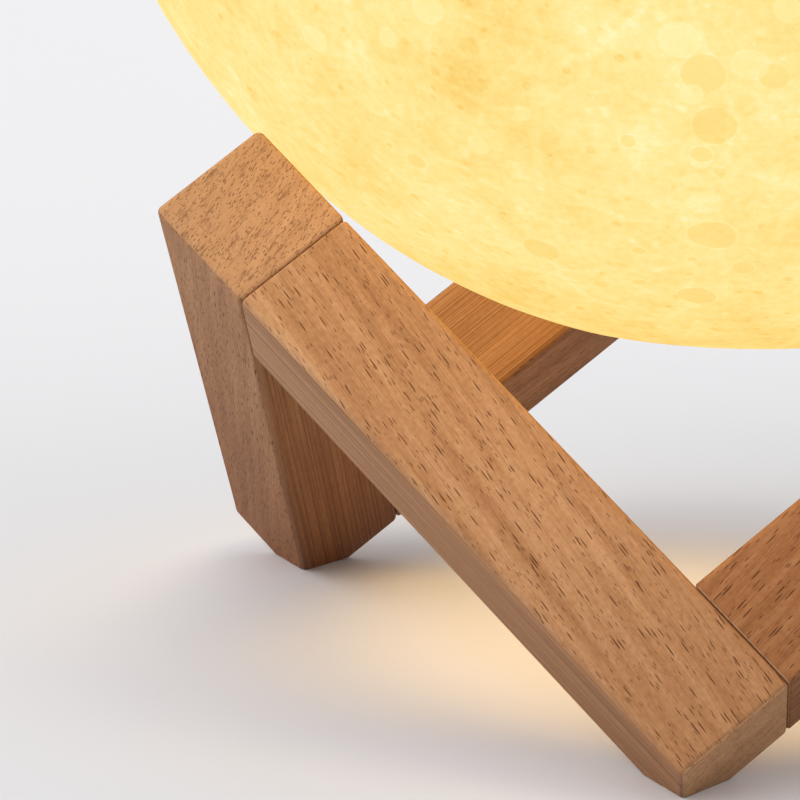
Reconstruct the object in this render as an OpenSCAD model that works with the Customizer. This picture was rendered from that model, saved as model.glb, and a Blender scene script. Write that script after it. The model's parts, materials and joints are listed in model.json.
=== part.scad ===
// Moon lamp: a hollow printed moon, lit from inside, that rests on the three
// upper corners of a zigzag ring of six square wooden bars.
// +Z is up, the floor is z = 0 and the origin is on the ring's axis.
// The front foot of the ring points to -Y.

/* [Stand] */
// Width of a square bar
bar_w = 14.5; // [13.5:0.5:15.5]
// Length of a bar from its open end to the bar that it butts on
bar_len = 70; // [68:1:74]
// Flat broken along each long edge of a bar
edge_break = 0.7; // [0.3:0.1:1.2]
// Height of the corner that the floor flat takes off each foot
foot_cut = 4; // [3:0.5:5]
// Diameter of the hidden dowels
dowel_d = 5; // [4:0.5:6]
// Depth of a dowel in the bar that it enters from the side
dowel_side = 10; // [8:0.5:11]
// Depth of a dowel in the bar that it enters from the end
dowel_end = 12; // [10:0.5:16]

/* [Moon] */
// Outside diameter of the moon
moon_d = 150; // [148:1:152]
// Wall thickness of the printed moon
shell_t = 1.8; // [1.4:0.1:2.2]
// Thickness of the ledge inside the mouth that hangs on the base unit's tabs
ledge_t = 2; // [1.6:0.1:2.4]
// Free gap between the moon and the corners that it rests on
seat_gap = 0.3; // [0.2:0.1:0.5]

/* [Base unit] */
// Outside diameter of the cup that holds the electronics
cup_d = 33.4; // [33.2:0.1:33.6]
// Wall thickness of the cup
cup_t = 1.6; // [1.4:0.1:1.7]
// Height of the cup
cup_h = 56.6; // [56:0.2:60]
// Diameter of the flange that closes the mouth
flange_d = 40.4; // [40:0.2:41]
// Thickness of the flange
flange_t = 2.2; // [2:0.1:2.6]
// Thickness of the soft seal between flange and ledge
seal_t = 0.5; // [0.4:0.1:0.7]
// Width of the metal trim ring let into the flange
trim_w = 1.5; // [1:0.1:1.8]
// Height of the trim ring
trim_h = 1.2; // [0.8:0.1:1.4]
// Thickness of the screwed bottom plate
plate_t = 2; // [1.8:0.1:2.2]

/* [Button and socket] */
// Diameter of the push button
button_d = 7.2; // [6.6:0.2:7.4]
// Free gap round the button
button_gap = 0.3; // [0.2:0.05:0.4]
// Travel of the button
button_travel = 1; // [0.6:0.1:1.2]
// How far the button stands out of the bottom plate
button_proud = 0.8; // [0.4:0.1:1]
// Width of the charging socket
socket_w = 9; // [8.6:0.1:9.2]
// Height of the charging socket's oval
socket_h = 3.2; // [3:0.1:3.3]
// Length of the charging socket
socket_len = 7.3; // [6.5:0.1:8]

/* [Battery and light] */
// Diameter of the battery cell
cell_d = 14; // [13.6:0.1:14.2]
// Length of the battery cell
cell_len = 43; // [42:0.5:43.5]
// Thickness of the circuit boards
board_t = 1.2; // [1:0.1:1.6]
// Number of light chips in the ring on the light plate
led_ring_n = 6; // [4:1:8]
// Edge length of a light chip
led_w = 5; // [4:0.1:5]

/* [Hidden] */
$fn = 64;

// Colours
beech = [0.76, 0.56, 0.40];
dowel_wood = [0.86, 0.72, 0.52];
moon_yellow = [1.0, 0.86, 0.50];
white_plastic = [0.93, 0.92, 0.89];
grey_rubber = [0.55, 0.55, 0.55];
bright_metal = [0.80, 0.80, 0.82];
board_green = [0.10, 0.35, 0.20];
chip_black = [0.08, 0.08, 0.09];
cell_blue = [0.20, 0.36, 0.62];
lead_red = [0.70, 0.12, 0.10];

// The ring: six bars on the edges of a cube whose long diagonal is upright
cube_side = bar_len + bar_w;
diagonal_tilt = acos(1 / sqrt(3));
ring_turn = 210;
ring_drop = bar_len / sqrt(3) + foot_cut;
dowel_r = dowel_d / 2;
glue_gap = 0.1;
// At the left foot the rest bar runs on to the floor and the brace bar butts on
// its side. At the two other feet the brace bar runs on.
running_rest = 0;
butting_brace = 2;

// The moon's centre lies on the diagonal at (seat, seat, seat) of the cube. It
// rests on the inner corners of the bars' upper ends, or on their inner faces
// when the moon is small enough to reach them.
moon_r = moon_d / 2;
reach_r = moon_r + seat_gap;
corner_b = 4 * cube_side + 2 * bar_w;
corner_c = 2 * cube_side * cube_side + bar_w * bar_w - reach_r * reach_r;
corner_seat = (corner_b + sqrt(corner_b * corner_b - 12 * corner_c)) / 6;
seat = reach_r > bar_len ? corner_seat : reach_r + bar_w;
moon_z = seat * sqrt(3) - ring_drop;

// The base unit, measured from the moon's centre
cup_r = cup_d / 2;
cup_inner_r = cup_r - cup_t;
flange_r = flange_d / 2;
mouth_r = flange_r + 0.3;
neck_r = cup_r + 0.3;
mouth_rim_t = 2;
base_z = -sqrt(moon_r * moon_r - mouth_r * mouth_r);
ledge_z = base_z + flange_t + seal_t;
ledge_top = ledge_z + ledge_t;
plate_top = base_z + plate_t;
cup_top = base_z + cup_h;
screw_r = 0.95;
screw_hole_r = screw_r + 0.05;
boss_r = 2.6;
boss_h = 7;
boss_ring_r = 12.8;
plate_screw_angles = [75, 180, 285];
led_screw_angles = [90, 270];
tab_angles = [30, 150, 270];

// The electronics
cell_x = -cup_inner_r + cell_d / 2 + 0.4;
cell_z = plate_top + boss_h + 0.6;
board_x = cell_x + cell_d / 2 + 0.4;
board_half_w = 8.5;
board_top = cup_top - 1.8;
socket_x = board_x + board_t + socket_h / 2;
socket_z = base_z + 0.3;
socket_wall = 0.35;
socket_back_z = socket_z + socket_len - 0.7;
tongue_z = base_z + 1.6;
button_x = 9.9;
button_r = button_d / 2;
collar_r = button_r + 0.9;
collar_t = 1;
stem_top = plate_top + 4.3;
switch_z = stem_top + button_travel + 0.3;
switch_w = 6;
switch_t = 3.5;
plunger_r = 1.7;
led_plate_t = 1.6;
led_z = cup_top + led_plate_t;
led_t = 1.5;
led_ring_r = 7.6;
dome_t = 1.2;
lead_r = 0.55;

// ---------- places ----------

// Puts children from the cube's coordinates into the lamp's
module on_cube()
    translate([0, 0, -ring_drop])
        rotate([0, 0, ring_turn])
            rotate([0, -diagonal_tilt, 0])
                rotate([0, 0, -45])
                    children();

// Turns children to the place of the given third of the ring
module third(index)
    rotate([0, 0, 120 * index])
        children();

// Puts children from the moon's centre into the lamp's coordinates
module in_moon()
    translate([0, 0, moon_z])
        children();

// ---------- stand ----------

// A square bar with broken long edges, standing on the origin
module square_bar(length) {
    far = bar_w - edge_break;
    linear_extrude(height = length)
        polygon([[edge_break, 0], [far, 0], [bar_w, edge_break], [bar_w, far],
                 [far, bar_w], [edge_break, bar_w], [0, far], [0, edge_break]]);
}

// What lies below the floor
module below_floor()
    translate([0, 0, -2 * bar_w])
        cylinder(r = 2 * cube_side, h = 2 * bar_w);

// The dowel at the top of a third: across the joint of rest bar and brace bar
module top_dowel(gap)
    translate([bar_len - dowel_end - gap, cube_side - bar_w / 2, bar_w / 2])
        rotate([0, 90, 0])
            cylinder(r = dowel_r + gap, h = dowel_end + dowel_side + 2 * gap);

// The dowel at a foot where the brace bar runs on, as it lies in that bar's
// side, or where it butts, as it lies in its end
module foot_dowel_in_brace(gap, butts)
    translate([bar_w / 2, cube_side - bar_w / 2, bar_w / 2])
        rotate([0, butts ? 90 : 0, 0])
            translate([0, 0, bar_w / 2 - dowel_side - gap])
                cylinder(r = dowel_r + gap, h = dowel_side + dowel_end + 2 * gap);

// The same dowel, as it lies in the lower end or in the side of the rest bar
module foot_dowel_in_rest(gap, runs_on)
    translate([cube_side - bar_w / 2, bar_w / 2, bar_w / 2])
        rotate([runs_on ? 0 : -90, 0, 0])
            translate([0, 0, bar_w / 2 - dowel_side - gap])
                cylinder(r = dowel_r + gap, h = dowel_side + dowel_end + 2 * gap);

// A bar that carries the moon: its upper end is open to view
module rest_bar(index) {
    runs_on = index == running_rest;
    color(beech)
        third(index)
            difference() {
                on_cube()
                    difference() {
                        translate([bar_len, cube_side, 0])
                            rotate([90, 0, 0])
                                square_bar(runs_on ? cube_side : bar_len);
                        top_dowel(glue_gap);
                        foot_dowel_in_rest(glue_gap, runs_on);
                    }
                below_floor();
            }
}

// A bar that runs from a rest bar's side down to a foot
module brace_bar(index) {
    butts = index == butting_brace;
    start = butts ? bar_w : 0;
    color(beech)
        third(index)
            difference() {
                on_cube()
                    difference() {
                        translate([start, bar_len, bar_w])
                            rotate([0, 90, 0])
                                square_bar(bar_len - start);
                        top_dowel(glue_gap);
                        foot_dowel_in_brace(glue_gap, butts);
                    }
                below_floor();
            }
}

module top_dowels()
    color(dowel_wood)
        for (index = [0:2])
            third(index)
                on_cube()
                    top_dowel(0);

module foot_dowels()
    color(dowel_wood)
        for (index = [0:2])
            third(index)
                on_cube()
                    foot_dowel_in_brace(0, index == butting_brace);

// ---------- moon and base unit ----------

// The printed shell: round the mouth it has a thick rim with a ledge inside
module moon_shell() {
    rim_z = base_z + shell_t / 2;
    color(moon_yellow)
        in_moon()
            difference() {
                union() {
                    difference() {
                        sphere(r = moon_r);
                        sphere(r = moon_r - shell_t);
                    }
                    translate([0, 0, rim_z])
                        cylinder(r = mouth_r + mouth_rim_t, h = ledge_top - rim_z);
                }
                translate([0, 0, -moon_r - 1])
                    cylinder(r = mouth_r, h = ledge_z + moon_r + 1);
                translate([0, 0, ledge_z - 1])
                    cylinder(r = neck_r, h = ledge_t + 2);
            }
}

module seal_ring()
    color(grey_rubber)
        in_moon()
            translate([0, 0, ledge_z - seal_t])
                difference() {
                    cylinder(r = flange_r - 0.4, h = seal_t);
                    translate([0, 0, -1])
                        cylinder(r = neck_r + 0.2, h = seal_t + 2);
                }

// A screw post: a cylinder with a hole through it
module screw_post(height)
    difference() {
        cylinder(r = boss_r, h = height);
        translate([0, 0, -1])
            cylinder(r = screw_hole_r, h = height + 2);
    }

// The cup with its flange, the posts for both sets of screws and three snap tabs
module base_cup()
    color(white_plastic)
        in_moon() {
            difference() {
                translate([0, 0, base_z]) {
                    cylinder(r = cup_r, h = cup_h);
                    cylinder(r = flange_r - trim_w, h = flange_t);
                    translate([0, 0, trim_h])
                        cylinder(r = flange_r, h = flange_t - trim_h);
                }
                translate([0, 0, base_z - 1])
                    cylinder(r = cup_inner_r, h = cup_h + 2);
            }
            for (angle = plate_screw_angles)
                rotate([0, 0, angle])
                    translate([boss_ring_r, 0, plate_top])
                        screw_post(boss_h);
            for (angle = led_screw_angles)
                rotate([0, 0, angle])
                    translate([boss_ring_r, 0, cup_top - boss_h])
                        screw_post(boss_h);
            for (angle = tab_angles)
                rotate([0, 0, angle])
                    translate([cup_r - 0.2, -2.5, ledge_top + 0.1])
                        cube([1.6, 5, 2]);
        }

module trim_ring()
    color(bright_metal)
        in_moon()
            translate([0, 0, base_z])
                difference() {
                    cylinder(r = flange_r, h = trim_h);
                    translate([0, 0, -1])
                        cylinder(r = flange_r - trim_w, h = trim_h + 2);
                }

// The oval of the charging socket, grown by a margin
module socket_oval(margin) {
    square([socket_h + 2 * margin, socket_w - socket_h], center = true);
    for (side = [-1, 1])
        translate([0, side * (socket_w - socket_h) / 2])
            circle(r = socket_h / 2 + margin);
}

module plate_screw_places()
    for (angle = plate_screw_angles)
        rotate([0, 0, angle])
            translate([boss_ring_r, 0, base_z])
                children();

module bottom_plate()
    color(white_plastic)
        in_moon()
            difference() {
                translate([0, 0, base_z])
                    cylinder(r = cup_inner_r - 0.1, h = plate_t);
                translate([button_x, 0, base_z - 1])
                    cylinder(r = button_r + button_gap, h = plate_t + 2);
                translate([socket_x - socket_h / 2 - 0.2, -socket_w / 2 - 0.2, base_z - 1])
                    cube([socket_h + 0.4, socket_w + 0.4, plate_t + 2]);
                plate_screw_places() {
                    translate([0, 0, -1])
                        cylinder(r = screw_r + 0.1, h = plate_t + 2);
                    translate([0, 0, -0.01])
                        cylinder(r1 = 2.02, r2 = screw_r + 0.1, h = 1.2);
                }
            }

// A small countersunk screw, head down at the origin, with a cross recess
module small_screw(length)
    difference() {
        union() {
            cylinder(r1 = 1.9, r2 = screw_r, h = 1.2);
            cylinder(r = screw_r, h = length);
        }
        for (turn = [0, 90])
            rotate([0, 0, turn])
                translate([-1.1, -0.25, -0.1])
                    cube([2.2, 0.5, 0.7]);
    }

module plate_screws()
    color(bright_metal)
        in_moon()
            plate_screw_places()
                small_screw(plate_t + boss_h - 1);

// ---------- electronics ----------

module battery_cell()
    color(cell_blue)
        in_moon()
            translate([cell_x, 0, cell_z]) {
                cylinder(d = cell_d, h = cell_len - 1);
                cylinder(d = 5, h = cell_len);
            }

module cell_pad()
    color(grey_rubber)
        in_moon()
            translate([cell_x, 0, plate_top + boss_h])
                cylinder(d = cell_d - 1, h = cell_z - plate_top - boss_h);

module control_board()
    color(board_green)
        in_moon()
            translate([board_x, -board_half_w, plate_top + 0.4])
                cube([board_t, 2 * board_half_w, board_top - plate_top - 0.4]);

// A part soldered to the board's outer face: its size along X, Y, Z and place
module board_block(size, across, up)
    translate([board_x + board_t, across - size[1] / 2, plate_top + up])
        cube(size);

module board_parts()
    color(chip_black)
        in_moon() {
            board_block([1.6, 5, 4], 0, 22);
            board_block([1.1, 3, 3], 5, 28);
            board_block([2.5, 4, 4], -5, 30);
            for (step = [0:4])
                board_block([0.8, 0.9, 1.6], -6 + 3 * step, 37);
            translate([board_x + board_t, 5, plate_top + 24])
                rotate([0, 90, 0])
                    cylinder(d = 4, h = 5);
        }

module charging_socket()
    color(bright_metal)
        in_moon()
            translate([socket_x, 0, socket_z])
                difference() {
                    linear_extrude(height = socket_len)
                        socket_oval(0);
                    translate([0, 0, -1])
                        linear_extrude(height = socket_back_z - socket_z + 1)
                            socket_oval(-socket_wall);
                }

module socket_tongue()
    color(chip_black)
        in_moon()
            translate([socket_x - 0.35, -3.3, tongue_z])
                cube([0.7, 6.6, socket_back_z - tongue_z]);

module switch_board()
    color(board_green)
        in_moon()
            translate([board_x + board_t, -4.5, switch_z + switch_t])
                cube([button_x + 3.6 - board_x - board_t, 9, board_t]);

module tact_switch()
    color(chip_black)
        in_moon()
            translate([button_x, 0, switch_z])
                difference() {
                    translate([-switch_w / 2, -switch_w / 2, 0])
                        cube([switch_w, switch_w, switch_t]);
                    translate([0, 0, -1])
                        cylinder(r = plunger_r + 0.3, h = button_travel + 2);
                }

// The cap with the collar that keeps it behind the bottom plate, and its stem
module push_button()
    color(white_plastic)
        in_moon()
            translate([button_x, 0, 0]) {
                translate([0, 0, base_z - button_proud])
                    cylinder(r = button_r, h = button_proud + plate_t + 0.3);
                translate([0, 0, plate_top + 0.3])
                    cylinder(r = collar_r, h = collar_t);
                translate([0, 0, plate_top + 0.3])
                    cylinder(r = 1.4, h = stem_top - plate_top - 0.3);
            }

module switch_plunger()
    color(chip_black)
        in_moon()
            translate([button_x, 0, stem_top])
                cylinder(r = plunger_r, h = switch_z - stem_top + 0.5);

module led_screw_places()
    for (angle = led_screw_angles)
        rotate([0, 0, angle])
            translate([boss_ring_r, 0, led_z])
                children();

module led_lead_places()
    for (side = [-2, 2])
        translate([board_x + board_t + lead_r, side, 0])
            children();

module led_plate()
    color(bright_metal)
        in_moon()
            difference() {
                translate([0, 0, cup_top])
                    cylinder(r = cup_r, h = led_plate_t);
                led_screw_places()
                    translate([0, 0, -led_plate_t - 1])
                        cylinder(r = screw_r + 0.1, h = led_plate_t + 2);
                led_lead_places()
                    translate([0, 0, cup_top - 1])
                        cylinder(r = lead_r + 0.2, h = led_plate_t + 2);
            }

module led_chips()
    color([1, 0.95, 0.7])
        in_moon()
            translate([-led_w / 2, -led_w / 2, led_z])
                for (index = [1:led_ring_n]) {
                    angle = 360 * index / led_ring_n;
                    translate([led_ring_r * cos(angle), led_ring_r * sin(angle), 0])
                        cube([led_w, led_w, led_t]);
                }

module led_screws()
    color(bright_metal)
        in_moon()
            led_screw_places() {
                cylinder(r = 1.8, h = 1.1);
                translate([0, 0, -led_plate_t - boss_h + 1])
                    cylinder(r = screw_r, h = led_plate_t + boss_h - 1);
            }

module light_dome()
    color(white_plastic)
        in_moon()
            translate([0, 0, led_z])
                difference() {
                    sphere(r = cup_r);
                    sphere(r = cup_r - dome_t);
                    translate([0, 0, -cup_r])
                        cylinder(r = cup_r + 1, h = cup_r);
                }

// Two leads that arch from the top of the cell to the board's inner face
module battery_leads() {
    arch_r = (board_x - lead_r - cell_x - 2) / 2;
    color(lead_red)
        in_moon()
            for (side = [-3.4, 3.4])
                translate([board_x - lead_r - arch_r, side, cell_z + cell_len - 1])
                    rotate([90, 0, 0])
                        rotate_extrude(angle = 180)
                            translate([arch_r, 0])
                                circle(r = lead_r, $fn = 24);
}

// Two leads from the board up through the light plate
module led_leads()
    color(lead_red)
        in_moon()
            led_lead_places()
                translate([0, 0, board_top - 3])
                    cylinder(r = lead_r, h = led_z - board_top + 3.4);

rest_bar(0);  // rest_bar_1
rest_bar(1);  // rest_bar_2
rest_bar(2);  // rest_bar_3
brace_bar(0);  // brace_bar_1
brace_bar(1);  // brace_bar_2
brace_bar(2);  // brace_bar_3
top_dowels();
foot_dowels();
moon_shell();
seal_ring();
base_cup();
trim_ring();
bottom_plate();
plate_screws();
battery_cell();
cell_pad();
control_board();
board_parts();
charging_socket();
socket_tongue();
switch_board();
tact_switch();
led_plate();
led_chips();
led_screws();
light_dome();
battery_leads();
led_leads();
push_button();
switch_plunger();
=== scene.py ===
import json
import math
import random

import bmesh
import bpy
from mathutils import Matrix, Vector, noise


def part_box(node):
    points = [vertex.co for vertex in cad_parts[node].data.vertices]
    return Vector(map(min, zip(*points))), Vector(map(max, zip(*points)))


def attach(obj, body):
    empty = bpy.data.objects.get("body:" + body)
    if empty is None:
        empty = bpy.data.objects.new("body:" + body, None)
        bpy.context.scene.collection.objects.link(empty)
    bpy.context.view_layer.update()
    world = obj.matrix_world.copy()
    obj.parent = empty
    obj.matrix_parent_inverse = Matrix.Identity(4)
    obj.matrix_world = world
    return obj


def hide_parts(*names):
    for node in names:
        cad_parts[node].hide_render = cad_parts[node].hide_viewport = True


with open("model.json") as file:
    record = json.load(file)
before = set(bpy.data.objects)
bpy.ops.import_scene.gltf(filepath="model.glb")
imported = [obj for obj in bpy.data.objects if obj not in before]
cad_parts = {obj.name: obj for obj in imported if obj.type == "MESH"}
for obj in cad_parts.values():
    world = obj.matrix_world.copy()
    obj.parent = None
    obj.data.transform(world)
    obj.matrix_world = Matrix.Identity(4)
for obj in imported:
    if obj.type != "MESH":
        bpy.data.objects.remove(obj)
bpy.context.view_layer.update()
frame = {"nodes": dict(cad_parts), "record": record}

# ---------------------------------------------------------------------------
# Stand bars: six square sticks of oiled beech, planed, sanded round at the
# edges and glued end to side in a zigzag ring. The feet are sawn off level.
# One pair of sides is quarter-sawn and lined, the other shows dark flecks.
# ---------------------------------------------------------------------------
diagonal_tilt = math.acos(1 / math.sqrt(3))
ring_turn = math.radians(210)
side_rounding = 0.0008
open_end_rounding = 0.0006
butt_end_rounding = 0.0003
side_rounding_steps = 5
end_rounding_steps = 4
grain_tilt = math.radians(7)
pore_tilt = math.radians(15)
side_shift = 0.1
bar_shift = 0.3
# the sawn ends are made redder and darker: partly the end grain's own tone, partly painted warm shade
end_redness_and_painted_shade = 0.2
X, Y, Z = range(3)
# For each kind of bar, the axis it runs along. Then for each third of the ring, the way its lined
# sides face, the ends that are open rather than butted, and how red and dark its low and its high end
# are: partly the wood's own tone and partly painted warm shade.
bar_kinds = {
    "rest_bar": {"along": Y, "lined": (X, Z, X), "open_ends": ((-1, 1), (1,), (1,)),
                 "redness_and_painted_shade": ((1.00, 0.40), (0.90, 0.70), (0.40, 0.40))},
    "brace_bar": {"along": X, "lined": (Z, Z, Z), "open_ends": ((-1,), (-1,), ()),
                  "redness_and_painted_shade": ((0.52, 0.20), (0.30, 0.30), (0.50, 0.50))},
}


def paint(red, green, blue):
    """A colour as it is seen, 0 to 255, for a colour socket."""
    seen = [part / 255 for part in (red, green, blue)]
    return [part / 12.92 if part < 0.04045 else ((part + 0.055) / 1.055) ** 2.4 for part in seen] + [1]


def put(tree, kind, sockets=None, **settings):
    """Adds a shader node. A socket takes a number, a colour or another node's output."""
    made = tree.nodes.new(kind)
    for name, value in settings.items():
        setattr(made, name, value)
    for name, value in (sockets or {}).items():
        if isinstance(value, bpy.types.NodeSocket):
            tree.links.new(value, made.inputs[name])
        else:
            made.inputs[name].default_value = value
    return made


def calc(tree, operation, *values):
    """Arithmetic on numbers and outputs."""
    return put(tree, "ShaderNodeMath", dict(enumerate(values)), operation=operation).outputs[0]


def fade(tree, value, start, end, low=1.0, high=0.0):
    """Goes from low to high while value goes from start to end."""
    return put(tree, "ShaderNodeMapRange", {"Value": value, "From Min": start, "From Max": end,
                                            "To Min": low, "To Max": high}).outputs[0]


def read(tree, attribute, output="Fac"):
    """What the mesh holds under this name."""
    return put(tree, "ShaderNodeAttribute", attribute_name=attribute).outputs[output]


def cloud(tree, place, scale=1.0, detail=2.0, roughness=0.5):
    """Soft noise from 0 to 1."""
    return put(tree, "ShaderNodeTexNoise", {"Vector": place, "Scale": scale, "Detail": detail,
                                            "Roughness": roughness}).outputs["Fac"]


def mix(tree, amount, under, over, way="MIX"):
    """Lays one colour over another."""
    made = tree.nodes.new("ShaderNodeMix")
    made.data_type = "RGBA"
    made.blend_type = way
    inputs = {socket.identifier: socket for socket in made.inputs}
    for name, value in (("Factor_Float", amount), ("A_Color", under), ("B_Color", over)):
        if isinstance(value, bpy.types.NodeSocket):
            tree.links.new(value, inputs[name])
        else:
            inputs[name].default_value = value
    return next(socket for socket in made.outputs if socket.identifier == "Result_Color")


def tones(tree, value, *steps):
    """A colour ramp: each step is a place from 0 to 1 and a colour."""
    ramp = put(tree, "ShaderNodeValToRGB", {"Fac": value})
    stops = ramp.color_ramp.elements
    while len(stops) < len(steps):
        stops.new(0.5)
    for stop, (place, colour) in zip(stops, steps):
        stop.position = place
        stop.color = colour
    return ramp.outputs["Color"]


def new_finish(name):
    """A material, its node tree and its main shader."""
    finish = bpy.data.materials.new(name)
    finish.use_nodes = True
    return finish, finish.node_tree, finish.node_tree.nodes["Principled BSDF"]


def beech_finish():
    """Oiled beech: each face reads its own grain place, tone and kind from the mesh."""
    finish, tree, shader = new_finish("beech")
    grain = read(tree, "grain", "Vector")
    lined = read(tree, "lined_face")
    sawn = read(tree, "end_face")
    redness_and_painted_shade = read(tree, "redness_and_painted_shade")

    def counted(across, along):
        """The place on the face, counted in cells of this many millimetres."""
        return put(tree, "ShaderNodeVectorMath", {0: grain, 1: (1000 / across, 1000 / along, 1)},
                   operation="MULTIPLY").outputs[0]

    def dashes(across, along, share, smallest, spread):
        """Dark lens-shaped flecks: one in each cell that is picked, on rows that waver."""
        waver = put(tree, "ShaderNodeTexNoise", {"Vector": counted(2.2, 6), "Scale": 1.0})
        place = put(tree, "ShaderNodeVectorMath", {0: waver.outputs["Color"], 1: (0.6, 0, 0),
                                                   2: counted(across, along)},
                    operation="MULTIPLY_ADD").outputs[0]
        cells = put(tree, "ShaderNodeTexVoronoi", {"Vector": place, "Scale": 1.0},
                    voronoi_dimensions="2D")
        pick = put(tree, "ShaderNodeSeparateColor", {"Color": cells.outputs["Color"]}).outputs
        size = calc(tree, "MULTIPLY_ADD", pick["Green"], spread, smallest)
        inside = fade(tree, calc(tree, "DIVIDE", cells.outputs["Distance"], size), 0.75, 1.05)
        return calc(tree, "MULTIPLY", inside, calc(tree, "LESS_THAN", pick["Red"], share))

    # the ground tone: long streaks, short fibres and a fine mottle
    streak = cloud(tree, counted(1.5, 38), detail=2)
    fibre = cloud(tree, counted(0.16, 2.6), detail=2, roughness=0.6)
    mottle = cloud(tree, counted(0.5, 0.7), detail=3, roughness=0.6)
    shade = calc(tree, "MULTIPLY_ADD", streak, 0.62, -0.31)
    shade = calc(tree, "ADD", shade, calc(tree, "MULTIPLY_ADD", fibre, 0.45, -0.225))
    shade = calc(tree, "ADD", shade, calc(tree, "MULTIPLY_ADD", mottle, 0.36, 0.32))
    colour = tones(tree, shade, (0.20, paint(142, 97, 62)), (0.50, paint(182, 136, 96)),
                   (0.80, paint(210, 168, 128)))

    # quarter-sawn sides: greyer, with fine lines that run the whole length
    line = calc(tree, "MULTIPLY", lined, fade(tree, cloud(tree, counted(0.24, 60)), 0.40, 0.56))
    colour = mix(tree, calc(tree, "MULTIPLY", lined, 0.35), colour, paint(186, 142, 106))
    colour = mix(tree, calc(tree, "MULTIPLY", line, 0.50), colour, paint(112, 74, 48))

    # flecked sides: dark dashes in loose strings
    long_side = calc(tree, "SUBTRACT", calc(tree, "SUBTRACT", 1.0, lined), sawn)
    string = fade(tree, cloud(tree, counted(0.30, 11), detail=1), 0.60, 0.70, 0.0, 0.22)
    long_fleck = dashes(0.34, 4.0, 0.34, 0.09, 0.15)
    short_fleck = dashes(0.25, 2.0, 0.26, 0.08, 0.13)
    fleck = calc(tree, "MAXIMUM", long_fleck, short_fleck)
    fleck = calc(tree, "MULTIPLY", calc(tree, "MAXIMUM", fleck, string), long_side)
    colour = mix(tree, calc(tree, "MULTIPLY", fleck, 0.86), colour, paint(86, 44, 25))

    # sawn ends: small pores close together, over crooked rows
    row = fade(tree, cloud(tree, counted(0.40, 2.6), detail=4, roughness=0.75), 0.34, 0.46, 0.75, 0.0)
    pore = calc(tree, "MULTIPLY", sawn, calc(tree, "MAXIMUM", dashes(0.22, 0.90, 0.62, 0.10, 0.17), row))
    colour = mix(tree, calc(tree, "MULTIPLY", sawn, 0.45), colour, paint(206, 160, 118))
    colour = mix(tree, calc(tree, "MULTIPLY", pore, 0.78), colour, paint(108, 62, 38))

    # the redder, darker parts of a bar, partly the wood's own tone and partly painted warm shade, then an
    # oiled, barely glossy surface with the flecks sunk in
    colour = mix(tree, redness_and_painted_shade, colour, (0.55, 0.40, 0.30, 1), "MULTIPLY")
    tree.links.new(colour, shader.inputs["Base Color"])
    tree.links.new(fade(tree, fibre, 0.2, 0.8, 0.66, 0.5), shader.inputs["Roughness"])
    shader.inputs["Specular IOR Level"].default_value = 0.12
    dent = calc(tree, "ADD", calc(tree, "MULTIPLY", fleck, -0.8), calc(tree, "MULTIPLY", pore, -1.0))
    height = calc(tree, "ADD", dent, calc(tree, "MULTIPLY", calc(tree, "ADD", fibre, mottle), 0.4))
    bump = put(tree, "ShaderNodeBump", {"Height": height, "Strength": 0.5, "Distance": 0.00012})
    tree.links.new(bump.outputs["Normal"], shader.inputs["Normal"])
    return finish


beech = beech_finish()


def across_edges(shape, axis, place):
    """The edges that bound the end of a bar at this place along it."""
    return [e for e in shape.edges if all(abs(v.co[axis] - place) < 1e-6 for v in e.verts)]


def lay_grain(bar, wood, third, bar_number):
    """Writes the place along and across each face, which kind of face it is, and its tone, which is partly
    painted warm shade.
    """
    grain = bar.loops.layers.float_vector.new("grain")
    lined_face = bar.faces.layers.float.new("lined_face")
    end_face = bar.faces.layers.float.new("end_face")
    red = bar.loops.layers.float.new("redness_and_painted_shade")
    lined = wood["lined"][third]
    redness_and_painted_shade = wood["redness_and_painted_shade"][third]
    ends = [min(v.co[wood["along"]] for v in bar.verts), max(v.co[wood["along"]] for v in bar.verts)]
    for face in bar.faces:
        facing = max(range(3), key=lambda axis: abs(face.normal[axis]))
        side = 2 * facing + (face.normal[facing] > 0)
        face[lined_face] = float(facing == lined)
        face[end_face] = float(facing == wood["along"])
        if facing == wood["along"]:
            across, along = (axis for axis in range(3) if axis != facing)
            tilt = pore_tilt
        else:
            across = 3 - facing - wood["along"]
            along = wood["along"]
            tilt = 0 if facing == lined else grain_tilt * (1 if side % 2 else -1)
        for loop in face.loops:
            u, v = loop.vert.co[across], loop.vert.co[along]
            loop[grain] = (u * math.cos(tilt) - v * math.sin(tilt) + side_shift * side,
                           u * math.sin(tilt) + v * math.cos(tilt) + bar_shift * bar_number, 0)
            # redder and darker along the bar and on its ends: partly the wood's own tone, partly painted
            # warm shade
            share = (loop.vert.co[wood["along"]] - ends[0]) / (ends[1] - ends[0])
            tone = redness_and_painted_shade[0] + (redness_and_painted_shade[1] - redness_and_painted_shade[0]) * share
            loop[red] = end_redness_and_painted_shade if facing == wood["along"] else tone


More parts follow.
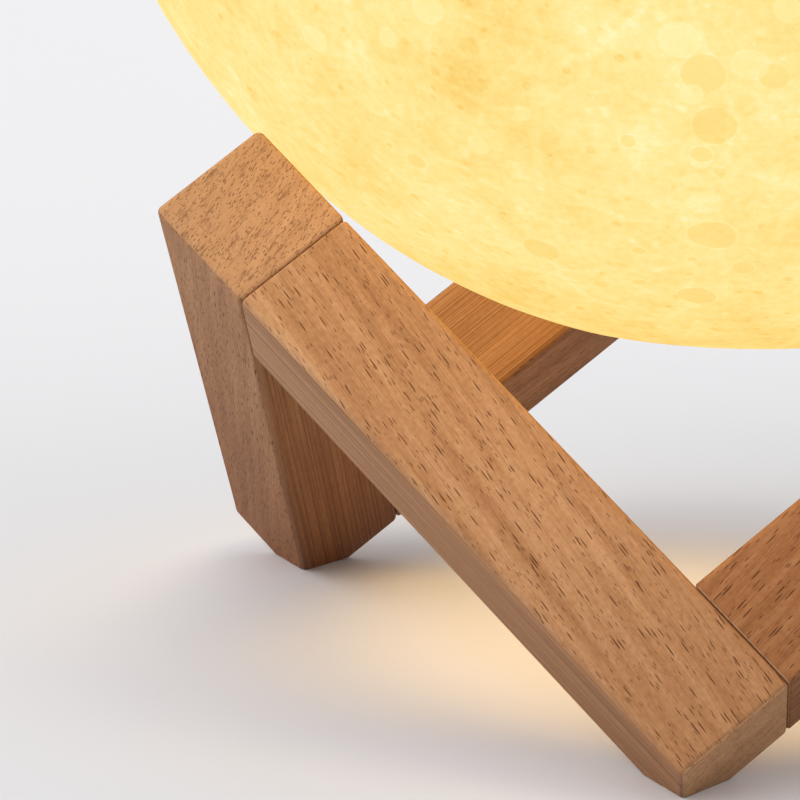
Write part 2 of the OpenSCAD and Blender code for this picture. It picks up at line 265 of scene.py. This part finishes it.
def make_bar(kind, third):
    """A bar is shaped square to its own axes, then turned into the ring and sawn off at the floor."""
    wood = bar_kinds[kind]
    node = f"{kind}_{third + 1}"
    to_lamp = (Matrix.Rotation(ring_turn + third * math.radians(120), 3, "Z")
               @ Matrix.Rotation(-diagonal_tilt, 3, "Y") @ Matrix.Rotation(math.radians(-45), 3, "Z"))
    to_bar = to_lamp.transposed()
    corners = [to_bar @ v.co for v in frame["nodes"][node].data.vertices]
    low = Vector([min(corner[axis] for corner in corners) for axis in range(3)])
    high = Vector([max(corner[axis] for corner in corners) for axis in range(3)])
    size = high - low
    along = wood["along"]
    end = size[along] / 2

    bar = bmesh.new()
    bmesh.ops.create_cube(bar, size=1, matrix=Matrix.Diagonal(size).to_4x4())
    long_edges = [e for e in bar.edges if abs(e.verts[0].co[along] - e.verts[1].co[along]) > end]
    bmesh.ops.bevel(bar, geom=long_edges, offset=side_rounding,
                    segments=side_rounding_steps, profile=0.5, affect="EDGES", material=-1)
    for which in (-1, 1):
        rounding = open_end_rounding if which in wood["open_ends"][third] else butt_end_rounding
        bmesh.ops.bevel(bar, geom=across_edges(bar, along, which * end), offset=rounding,
                        segments=end_rounding_steps, profile=0.5, affect="EDGES", material=-1)
    bar.normal_update()
    lay_grain(bar, wood, third, third + 3 * (kind == "brace_bar"))
    for face in bar.faces:
        face.smooth = True

    place = to_lamp.to_4x4() @ Matrix.Translation((low + high) / 2)
    bmesh.ops.transform(bar, matrix=place, verts=bar.verts)
    sawn = bmesh.ops.bisect_plane(bar, geom=bar.verts[:] + bar.edges[:] + bar.faces[:], dist=1e-7,
                                  plane_co=(0, 0, 0), plane_no=(0, 0, -1), clear_outer=True)
    rim = [part for part in sawn["geom_cut"] if isinstance(part, bmesh.types.BMEdge)]
    if rim:
        bmesh.ops.contextual_create(bar, geom=rim)
    mesh = bpy.data.meshes.new(node + "_wood")
    bar.to_mesh(mesh)
    bar.free()
    mesh.materials.append(beech)
    piece = bpy.data.objects.new(node + "_wood", mesh)
    bpy.context.scene.collection.objects.link(piece)
    flat_sides = piece.modifiers.new("flat_sides", "WEIGHTED_NORMAL")
    flat_sides.keep_sharp = True
    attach(piece, "stand")
    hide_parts(node)


for bar_kind in bar_kinds:
    for third_index in range(3):
        make_bar(bar_kind, third_index)

# ---------------------------------------------------------------------------
# Dowels: short turned beech pins, glued into holes across the six joints of
# the ring. They are inside the bars, out of sight.
# ---------------------------------------------------------------------------


def dress(finish, *nodes):
    """Gives carried-over parts their finish."""
    for node in nodes:
        mesh = frame["nodes"][node].data
        mesh.materials.clear()
        mesh.materials.append(finish)


texture_scale = 900
texture_depth = 0.00003


def plain_finish(name, base, shade, rough, metal=0.0):
    """A moulded, turned or plated surface with a slight mottle and a fine texture."""
    finish, tree, shader = new_finish(name)
    place = put(tree, "ShaderNodeTexCoord").outputs["Object"]
    colour = tones(tree, cloud(tree, place, texture_scale / 4, 3), (0.35, shade), (0.65, base))
    tree.links.new(colour, shader.inputs["Base Color"])
    shader.inputs["Metallic"].default_value = metal
    fine = cloud(tree, place, texture_scale, 2)
    tree.links.new(fade(tree, fine, 0, 1, rough - 0.06, rough + 0.06), shader.inputs["Roughness"])
    bump = put(tree, "ShaderNodeBump", {"Height": fine, "Strength": 0.4, "Distance": texture_depth})
    tree.links.new(bump.outputs["Normal"], shader.inputs["Normal"])
    return finish


dress(plain_finish("dowel_wood", paint(226, 196, 150), paint(206, 172, 122), 0.7),
      "top_dowels", "foot_dowels")

# ---------------------------------------------------------------------------
# Moon globe: printed in warm white plastic with a cratered wall, thin on the
# highlands and thicker in the seas, so the light inside draws them. Round the
# mouth in its underside it has a thick rim with a ledge for the base unit.
# ---------------------------------------------------------------------------
shell_low, shell_high = (Vector(corner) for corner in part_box("moon_shell"))
flange_high = Vector(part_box("base_cup")[1])
ledge_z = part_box("seal_ring")[1][Z]
moon_radius = (shell_high.x - shell_low.x) / 2
moon_middle = Vector((0, 0, shell_high.z - moon_radius))
moon_wall = 0.0018
ledge_thickness = 0.002
rim_thickness = 0.002
mouth_radius = flange_high.x + 0.0003
neck_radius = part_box("led_plate")[1][X] + 0.0003
relief_depth = 0.0007
rim_fade = 0.012
sea_spread = 1.7
sea_shift = Vector((3.1, 0.4, 7.7))
roll_spread = 9
outer_subdivisions = 7
inner_subdivisions = 5
rim_steps = 128
dip_draw = random.Random(41)

# craters that face the front: azimuth, latitude, radius in mm, and how bright the floor is
front_craters = (
    (269, -29, 2.4, 0.30), (270, -34, 2.4, 0.22), (270, -47, 2.6, 0.22), (275, -29, 1.6, 0.35),
    (267, -26, 2.0, 0.95), (273, -28, 1.7, 0.85), (268, -31, 1.2, 0.92), (276, -23, 1.7, 0.85),
    (231, -29, 1.6, 0.92), (240, -28, 1.1, 0.90), (245, -25, 1.7, 0.90), (246, -38, 1.2, 0.80),
    (252, -34, 0.9, 0.75), (268, -40, 1.0, 0.80), (248, -51, 2.0, 0.15), (268, -57, 2.1, 0.15),
    (237, -41, 1.1, 0.15), (261, -50, 0.8, 0.15), (274, -52, 1.3, 0.25), (228, -41, 1.9, 0.30),
    (260, -32, 1.0, 0.42), (262, -36, 0.9, 0.35), (269, -37, 1.2, 0.35), (260, -55, 0.8, 0.20),
    (254, -56, 0.9, 0.25), (285, -41, 2.2, 0.25), (290, -30, 1.8, 0.88), (221, -20, 1.5, 0.30),
)
# broad soft patches on the same side: azimuth, latitude, radius in mm, and the brightness they add
front_seas = (
    (244, -31, 8, -0.14), (247, -32, 4, -0.14), (232, -38, 7, -0.10), (228, -31, 6, -0.12),
    (226, -44, 6, -0.20), (252, -23, 5, -0.08), (262, -36, 5, 0.10), (281, -38, 6, 0.08),
)


def direction(azimuth, latitude):
    """Which way these degrees point, seen from the middle."""
    turn, lift = math.radians(azimuth), math.radians(latitude)
    return Vector((math.cos(turn) * math.cos(lift), math.sin(turn) * math.cos(lift), math.sin(lift)))


def scattered_dips(count, smallest, largest):
    """Directions and radii of broad dips, small ones more often than large ones."""
    return [(direction(dip_draw.uniform(0, 360), math.degrees(math.asin(dip_draw.uniform(-1, 1)))),
             smallest + (largest - smallest) * dip_draw.random() ** 2.2) for _ in range(count)]


broad_dips = scattered_dips(120, 0.003, 0.009)


def dip_depth(towards):
    """How far the wall dips in broad craters: 1 on a floor, below 0 on a rim."""
    depth = 0.0
    for middle, size in broad_dips:
        gap = (towards - middle).length * moon_radius / size
        if gap < 1.5:
            depth += 0.8 * max(0.0, 1 - gap ** 4) - 0.35 * math.exp(-((gap - 1) / 0.16) ** 2)
    return max(min(depth, 1.0), -1.0)


def make_globe():
    """The outer sphere with its relief and the smooth lining, both cut open below and joined there."""
    globe = bmesh.new()
    bmesh.ops.create_icosphere(globe, subdivisions=outer_subdivisions, radius=moon_radius)
    sea = globe.verts.layers.float.new("sea")
    dip = globe.verts.layers.float.new("dip")
    mouth_z = -math.sqrt(moon_radius ** 2 - mouth_radius ** 2)
    for v in globe.verts:
        towards = v.co.normalized()
        sea_noise = noise.fractal(towards * sea_spread + sea_shift, 0.9, 2.1, 4)
        v[sea] = min(max(sea_noise * 2.2, 0), 1)
        v[dip] = dip_depth(towards)
        roll = noise.fractal(towards * roll_spread, 0.8, 2.0, 3)
        # deeper in the seas and on crater floors, and level again towards the mouth
        depth = relief_depth * max(0.30 + 0.25 * v[sea] + 0.45 * v[dip] + 0.12 * roll, 0)
        depth *= min(max((v.co.z - mouth_z) / rim_fade, 0), 1)
        v.co = towards * (moon_radius - depth)
    lining_first = len(globe.verts)
    bmesh.ops.create_icosphere(globe, subdivisions=inner_subdivisions, radius=moon_radius - moon_wall)
    globe.verts.ensure_lookup_table()
    lining = globe.verts[lining_first:]
    bmesh.ops.reverse_faces(globe, faces=list({face for v in lining for face in v.link_faces}))

    def open_below(verts, height):
        """Cuts a sphere off below this height and gives back the edges of its hole."""
        parts = list({part for v in verts for part in (v, *v.link_edges, *v.link_faces)})
        cut = bmesh.ops.bisect_plane(globe, geom=parts, dist=1e-7, plane_co=(0, 0, height),
                                     plane_no=(0, 0, -1), clear_outer=True)
        return [part for part in cut["geom_cut"] if isinstance(part, bmesh.types.BMEdge)]

    # from the mouth's edge up its wall, in along the ledge and out over it to the lining
    rim_radius = mouth_radius + rim_thickness
    inner_hole = open_below(lining, -math.sqrt((moon_radius - moon_wall) ** 2 - rim_radius ** 2))
    lining_verts = {v for edge in inner_hole for v in edge.verts}
    outer = [v for v in globe.verts if v.co.length > moon_radius - relief_depth - 1e-5
             and v not in lining_verts]
    loops = [open_below(outer, mouth_z)]
    ledge_low = ledge_z - moon_middle.z
    for radius, height in ((mouth_radius, ledge_low), (neck_radius, ledge_low),
                           (neck_radius, ledge_low + ledge_thickness),
                           (rim_radius, ledge_low + ledge_thickness)):
        ring = bmesh.ops.create_circle(globe, segments=rim_steps, radius=radius,
                                       matrix=Matrix.Translation((0, 0, height)))
        loops.append(list({edge for v in ring["verts"] for edge in v.link_edges}))
    loops.append(inner_hole)
    for lower, upper in zip(loops, loops[1:]):
        bmesh.ops.bridge_loops(globe, edges=lower + upper)
    bmesh.ops.recalc_face_normals(globe, faces=globe.faces)
    for edge in (edge for loop in loops for edge in loop):
        edge.smooth = False
    for face in globe.faces:
        face.smooth = True
    bmesh.ops.translate(globe, vec=moon_middle, verts=globe.verts)
    mesh = bpy.data.meshes.new("moon_globe")
    globe.to_mesh(mesh)
    globe.free()
    return mesh


def moon_print_finish():
    """Lit print: the brightness of each spot is the sum of seas, craters, pits and layers."""
    finish, tree, shader = new_finish("moon_print")
    place = put(tree, "ShaderNodeMapping", {"Vector": put(tree, "ShaderNodeTexCoord").outputs["Object"],
                                            "Location": -moon_middle}).outputs[0]

    def shaken(scale, detail, reach):
        """The place, moved a little this way and that, so outlines read from it are uneven."""
        shake = put(tree, "ShaderNodeTexNoise", {"Vector": place, "Scale": scale, "Detail": detail})
        return put(tree, "ShaderNodeVectorMath", {0: shake.outputs["Color"], 1: (reach, reach, reach),
                                                  2: place}, operation="MULTIPLY_ADD").outputs[0]

    ragged = shaken(420.0, 3.0, 0.0008)
    glow = calc(tree, "MULTIPLY_ADD", cloud(tree, place, 42, 4, 0.55), 0.62, 0.27)
    glow = calc(tree, "SUBTRACT", glow, calc(tree, "MULTIPLY", read(tree, "sea"), 0.16))
    glow = calc(tree, "SUBTRACT", glow, calc(tree, "MULTIPLY", read(tree, "dip"), 0.05))

    # blotches of the terrain, down to the grain of the print
    blotch = cloud(tree, ragged, 170, 5, 0.65)
    glow = calc(tree, "ADD", glow, calc(tree, "MULTIPLY_ADD", blotch, 0.84, -0.42))
    grit = cloud(tree, place, 900, 3, 0.7)
    glow = calc(tree, "ADD", glow, calc(tree, "MULTIPLY_ADD", grit, 0.90, -0.45))
    veins = put(tree, "ShaderNodeTexVoronoi", {"Vector": ragged, "Scale": 85.0}, feature="DISTANCE_TO_EDGE")
    glow = calc(tree, "ADD", glow, fade(tree, veins.outputs["Distance"], 0.0, 0.05, 0.12, 0.0))

    # pits of three sizes, some dark and some pale: spacing, reach in the cell, and both tones
    for spacing, reach, dark, pale in ((0.013, 0.15, 0.20, 0.24), (0.0062, 0.20, 0.16, 0.18),
                                       (0.0024, 0.20, 0.26, 0.16)):
        cells = put(tree, "ShaderNodeTexVoronoi", {"Vector": ragged, "Scale": 1 / spacing})
        pick = put(tree, "ShaderNodeSeparateColor", {"Color": cells.outputs["Color"]}).outputs
        size = calc(tree, "MULTIPLY_ADD", pick["Green"], reach, 0.06)
        inside = fade(tree, calc(tree, "DIVIDE", cells.outputs["Distance"], size), 0.82, 1.08)
        tone = calc(tree, "MULTIPLY_ADD", calc(tree, "LESS_THAN", pick["Red"], 0.66), -dark - pale, pale)
        glow = calc(tree, "MULTIPLY_ADD", inside, tone, glow)

    # the patches and craters that face the front, each crater with a pale rim
    for azimuth, latitude, radius, tone in front_seas:
        gap = put(tree, "ShaderNodeVectorMath", {0: ragged, 1: direction(azimuth, latitude) * moon_radius},
                  operation="DISTANCE")
        inside = fade(tree, gap.outputs["Value"], radius / 2000, radius / 800)
        glow = calc(tree, "MULTIPLY_ADD", inside, tone, glow)
    bend = 0.0009
    bent = shaken(230.0, 2.0, bend)
    for azimuth, latitude, radius, brightness in front_craters:
        middle = direction(azimuth, latitude) * moon_radius + Vector((bend / 2, bend / 2, bend / 2))
        gap = put(tree, "ShaderNodeVectorMath", {0: bent, 1: middle}, operation="DISTANCE").outputs["Value"]
        inside = fade(tree, gap, radius * 0.00094, radius * 0.00104, 0.60, 0.0)
        glow = calc(tree, "MULTIPLY_ADD", inside, calc(tree, "SUBTRACT", brightness, glow), glow)
        glow = calc(tree, "MULTIPLY_ADD", calc(tree, "COMPARE", gap, radius * 0.00102, 0.00016), 0.10, glow)

    # the printed layers, the shade at the bottom, where the base unit blocks the light, and on the left
    layer_place = put(tree, "ShaderNodeVectorMath", {0: place, 1: (70, 70, 2600)},
                      operation="MULTIPLY").outputs[0]
    glow = calc(tree, "ADD", glow, calc(tree, "MULTIPLY_ADD", cloud(tree, layer_place, 1, 1), 0.12, -0.06))
    spot = put(tree, "ShaderNodeSeparateXYZ", {"Vector": place}).outputs
    glow = calc(tree, "SUBTRACT", glow, fade(tree, spot["Z"], -0.061, -0.073, 0.0, 0.40))
    glow = calc(tree, "SUBTRACT", glow, fade(tree, spot["X"], -0.046, -0.062, 0.0, 0.22))

    colour = tones(tree, glow, (0.00, paint(247, 205, 108)), (0.25, paint(250, 217, 126)),
                   (0.50, paint(252, 226, 142)), (0.72, paint(253, 233, 155)), (1.00, paint(255, 243, 180)))
    tree.links.new(colour, shader.inputs["Emission Color"])
    shader.inputs["Emission Strength"].default_value = 1.0
    shader.inputs["Base Color"].default_value = (0.04, 0.03, 0.015, 1)
    shader.inputs["Roughness"].default_value = 0.75
    shader.inputs["Specular IOR Level"].default_value = 0.15
    bump = put(tree, "ShaderNodeBump", {"Height": glow, "Strength": 0.6, "Distance": 0.0004})
    tree.links.new(bump.outputs["Normal"], shader.inputs["Normal"])
    return finish


moon_globe = bpy.data.objects.new("moon_globe", make_globe())
bpy.context.scene.collection.objects.link(moon_globe)
moon_globe.data.materials.append(moon_print_finish())
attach(moon_globe, "moon")
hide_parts("moon_shell")

# ---------------------------------------------------------------------------
# Base unit: a moulded white cup with a flange, a steel trim ring, a screwed
# bottom plate with the button and the charging socket, and a soft seal.
# ---------------------------------------------------------------------------
white_plastic = plain_finish("white_plastic", paint(240, 238, 231), paint(234, 231, 223), 0.42)
grey_rubber = plain_finish("grey_rubber", paint(148, 148, 148), paint(136, 136, 137), 0.8)
bright_metal = plain_finish("bright_metal", paint(206, 206, 208), paint(192, 192, 195), 0.28, metal=1.0)
screw_steel = plain_finish("screw_steel", paint(186, 186, 190), paint(172, 172, 176), 0.22, metal=1.0)
chip_black = plain_finish("chip_black", paint(42, 42, 44), paint(33, 33, 35), 0.5)
dress(white_plastic, "base_cup", "bottom_plate", "push_button")
dress(bright_metal, "trim_ring", "charging_socket")
dress(screw_steel, "plate_screws", "led_screws")
dress(grey_rubber, "seal_ring", "cell_pad")
dress(chip_black, "socket_tongue", "tact_switch", "switch_plunger", "board_parts")

# ---------------------------------------------------------------------------
# Electronics inside the cup: a shrink-wrapped cell, two green boards, the
# aluminium light plate with its chips under a frosted dome, and red leads.
# ---------------------------------------------------------------------------
dress(plain_finish("cell_wrap", paint(58, 96, 158), paint(50, 86, 146), 0.3), "battery_cell")
dress(plain_finish("board_green", paint(28, 96, 58), paint(20, 80, 48), 0.35),
      "control_board", "switch_board")
dress(plain_finish("led_aluminium", paint(222, 222, 224), paint(210, 210, 212), 0.35, metal=1.0),
      "led_plate")
dress(plain_finish("frosted_plastic", paint(248, 244, 232), paint(242, 238, 225), 0.6), "light_dome")
dress(plain_finish("lead_red", paint(186, 40, 34), paint(170, 32, 28), 0.45),
      "battery_leads", "led_leads")
dress(plain_finish("led_light", paint(255, 244, 190), paint(250, 232, 160), 0.4), "led_chips")

# ---------------------------------------------------------------------------
# The studio's floor: pale, seamless and matt, just under the feet. It looks a
# little brighter than the light it throws back, and can't be seen from below.
# ---------------------------------------------------------------------------
floor_reach = 5.0
floor_drop = 0.0001
floor_shape = bmesh.new()
bmesh.ops.create_grid(floor_shape, x_segments=2, y_segments=2, size=floor_reach,
                      matrix=Matrix.Translation((0, 0, -floor_drop)))
floor_mesh = bpy.data.meshes.new("studio_floor")
floor_shape.to_mesh(floor_mesh)
floor_shape.free()
studio_floor = bpy.data.objects.new("studio_floor", floor_mesh)
bpy.context.scene.collection.objects.link(studio_floor)
floor_finish, floor_tree, floor_shader = new_finish("pale_floor")
floor_rays = put(floor_tree, "ShaderNodeLightPath").outputs
seen = calc(floor_tree, "MAXIMUM", floor_rays["Is Camera Ray"],
            calc(floor_tree, "MAXIMUM", floor_rays["Is Glossy Ray"], floor_rays["Is Transmission Ray"]))
floor_colour = mix(floor_tree, seen, paint(200, 199, 198), paint(234, 234, 236))
floor_tree.links.new(floor_colour, floor_shader.inputs["Base Color"])
floor_shader.inputs["Roughness"].default_value = 0.6
floor_shader.inputs["Specular IOR Level"].default_value = 0.15
from_below = put(floor_tree, "ShaderNodeMixShader",
                 {0: put(floor_tree, "ShaderNodeNewGeometry").outputs["Backfacing"],
                  1: floor_shader.outputs["BSDF"],
                  2: put(floor_tree, "ShaderNodeBsdfTransparent").outputs["BSDF"]})
floor_tree.links.new(from_below.outputs["Shader"], floor_tree.nodes["Material Output"].inputs["Surface"])
floor_mesh.materials.append(floor_finish)

# ---------------------------------------------------------------------------
# The studio's light: an even pale surround, and one very broad soft light that
# comes from the left and front.
# ---------------------------------------------------------------------------
left_light_azimuth = 213
left_light_height = 24
surround = bpy.data.worlds.new("pale_surround")
bpy.context.scene.world = surround
surround.use_nodes = True
surround_light = surround.node_tree.nodes["Background"]
surround_light.inputs["Color"].default_value = (1, 0.995, 0.995, 1)
surround_light.inputs["Strength"].default_value = 0.88

left_light = bpy.data.lights.new("left_light", "SUN")
left_light.energy = 1.5
left_light.angle = math.radians(70)
left_lamp = bpy.data.objects.new("left_light", left_light)
bpy.context.scene.collection.objects.link(left_lamp)
left_lamp.rotation_euler = direction(left_light_azimuth,
                                     left_light_height).to_track_quat("Z", "Y").to_euler()

# ---------------------------------------------------------------------------
# The warm light that the globe throws round it, from a lamp of the globe's own
# size that rides on it. Only the underside shines, on the stand and the floor,
# and the light turns weak and plain further out.
# ---------------------------------------------------------------------------
warm_reach = (0.085, 0.155)
shining_underside = (-0.97, -0.78)
glow_light = bpy.data.lights.new("moon_glow", "POINT")
glow_light.energy = 1.45
glow_light.shadow_soft_size = moon_radius
glow_light.use_nodes = True
glow_tree = glow_light.node_tree
glow_distance = put(glow_tree, "ShaderNodeLightPath").outputs["Ray Length"]
glow_facing = put(glow_tree, "ShaderNodeSeparateXYZ",
                  {0: put(glow_tree, "ShaderNodeNewGeometry").outputs["Normal"]}).outputs["Z"]
glow_colour = mix(glow_tree, fade(glow_tree, glow_distance, *warm_reach), (0.16, 0.15, 0.13, 1),
                  (1.0, 0.56, 0.08, 1))
glow_shader = glow_tree.nodes["Emission"]
glow_tree.links.new(fade(glow_tree, glow_facing, *shining_underside), glow_shader.inputs["Strength"])
glow_tree.links.new(glow_colour, glow_shader.inputs["Color"])
glow_lamp = bpy.data.objects.new("moon_glow", glow_light)
bpy.context.scene.collection.objects.link(glow_lamp)
glow_lamp.location = moon_middle
glow_lamp.parent = moon_globe

# the lamp neither lights nor is blocked by the moon's own parts, and the globe's own glow leaves
# the floor to the lamp
lit_inside = bpy.data.collections.new("lit_inside")
for part in [moon_globe] + [node for name, node in frame["nodes"].items()
                            if name in frame["record"]["behaviour"]["bodies"]["moon"]]:
    lit_inside.objects.link(part)
glow_lamp.light_linking.receiver_collection = lit_inside
glow_lamp.light_linking.blocker_collection = lit_inside
floor_alone = bpy.data.collections.new("floor_alone")
floor_alone.objects.link(studio_floor)
moon_globe.light_linking.receiver_collection = floor_alone
for group in (lit_inside, floor_alone):
    for part in group.collection_objects:
        part.light_linking.link_state = "EXCLUDE"

# ---------------------------------------------------------------------------
# The camera stands just round from the front foot, a little above the ring,
# and looks slightly down with a long lens at the left joint.
# ---------------------------------------------------------------------------
camera_distance = 0.5004
camera_height = 0.1319
round_from_front = math.radians(1.43)
looking_aside = math.radians(4.13)
looking_down = math.radians(11.84)
leaning = math.radians(1.79)
camera_data = bpy.data.cameras.new("photo_view")
camera_data.sensor_width = 36
camera_data.lens = 201.5
camera_data.clip_start = 0.01
camera = bpy.data.objects.new("photo_view", camera_data)
bpy.context.scene.collection.objects.link(camera)
camera.matrix_world = (
    Matrix.Rotation(round_from_front, 4, "Z")
    @ Matrix.Translation((0, -camera_distance, camera_height))
    @ Matrix.Rotation(looking_aside, 4, "Z")
    @ Matrix.Rotation(math.radians(90) - looking_down, 4, "X")
    @ Matrix.Rotation(leaning, 4, "Z")
)
bpy.context.scene.camera = camera
bpy.context.scene.view_settings.view_transform = "Standard"
